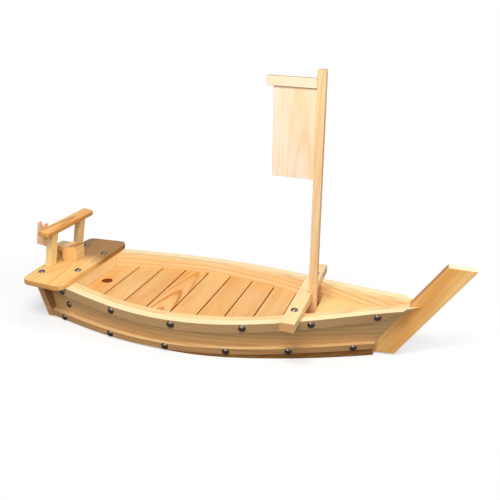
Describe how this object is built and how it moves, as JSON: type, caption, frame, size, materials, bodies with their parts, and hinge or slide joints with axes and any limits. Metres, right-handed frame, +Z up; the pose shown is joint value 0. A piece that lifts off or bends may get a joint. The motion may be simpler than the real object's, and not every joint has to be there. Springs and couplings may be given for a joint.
{
  "type": "wooden serving boat",
  "caption": "Boat-shaped wooden serving tray with a slatted deck, a raked stem, a mast with a flag panel and a stern gate.",
  "frame": {"origin": "middle of the bounding box at its lowest level, on the surface that the bottom board stands on", "axes": "+X forward along the keel to the bow, +Y to port, +Z up along the height"},
  "size_m": [0.5739, 0.2178, 0.3432],
  "materials": {
    "bottom_board": "satin lacquer",
    "side_plank_port": "satin lacquer",
    "side_plank_starboard": "satin lacquer",
    "upper_rail_port": "satin lacquer",
    "upper_rail_starboard": "satin lacquer",
    "lower_rail_port": "satin lacquer",
    "lower_rail_starboard": "satin lacquer",
    "transom": "satin lacquer",
    "stem": "satin lacquer",
    "stern_platform": "satin lacquer",
    "stern_bulkhead": "satin lacquer",
    "foredeck_board": "satin lacquer",
    "deck_batten_port": "satin lacquer",
    "deck_batten_starboard": "satin lacquer",
    "thwart": "satin lacquer",
    "mast": "satin lacquer",
    "yard": "satin lacquer",
    "flag_panel": "satin lacquer",
    "gate_post_port": "satin lacquer",
    "gate_post_starboard": "satin lacquer",
    "gate_beam": "satin lacquer",
    "oar_rest": "satin lacquer",
    "stern_block": "satin lacquer",
    "stern_bracket": "satin lacquer",
    "deck_slat_1": "satin lacquer",
    "deck_slat_2": "satin lacquer",
    "deck_slat_3": "satin lacquer",
    "deck_slat_4": "satin lacquer",
    "deck_slat_5": "satin lacquer",
    "deck_slat_6": "satin lacquer",
    "deck_slat_7": "satin lacquer",
    "deck_slat_8": "satin lacquer",
    "deck_slat_9": "satin lacquer",
    "nail_metal": "polished dark dome heads"
  },
  "bodies": {
    "root": {"bottom_board": "bottom_board", "side_plank_port": "side_plank_port", "side_plank_starboard": "side_plank_starboard", "upper_rail_port": "upper_rail_port", "upper_rail_starboard": "upper_rail_starboard", "lower_rail_port": "lower_rail_port", "lower_rail_starboard": "lower_rail_starboard", "transom": "transom", "stem": "stem", "stern_platform": "stern_platform", "stern_bulkhead": "stern_bulkhead", "foredeck_board": "foredeck_board", "deck_batten_port": "deck_batten_port", "deck_batten_starboard": "deck_batten_starboard", "thwart": "thwart", "mast": "mast", "yard": "yard", "flag_panel": "flag_panel", "gate_post_port": "gate_post_port", "gate_post_starboard": "gate_post_starboard", "gate_beam": "gate_beam", "oar_rest": "oar_rest", "stern_block": "stern_block", "stern_bracket": "stern_bracket", "deck_slat_1": "deck_slat_1", "deck_slat_2": "deck_slat_2", "deck_slat_3": "deck_slat_3", "deck_slat_4": "deck_slat_4", "deck_slat_5": "deck_slat_5", "deck_slat_6": "deck_slat_6", "deck_slat_7": "deck_slat_7", "deck_slat_8": "deck_slat_8", "deck_slat_9": "deck_slat_9", "hull_nails_port": "nail_metal", "hull_nails_starboard": "nail_metal", "platform_and_thwart_nails": "nail_metal"}
  },
  "joints": []
}
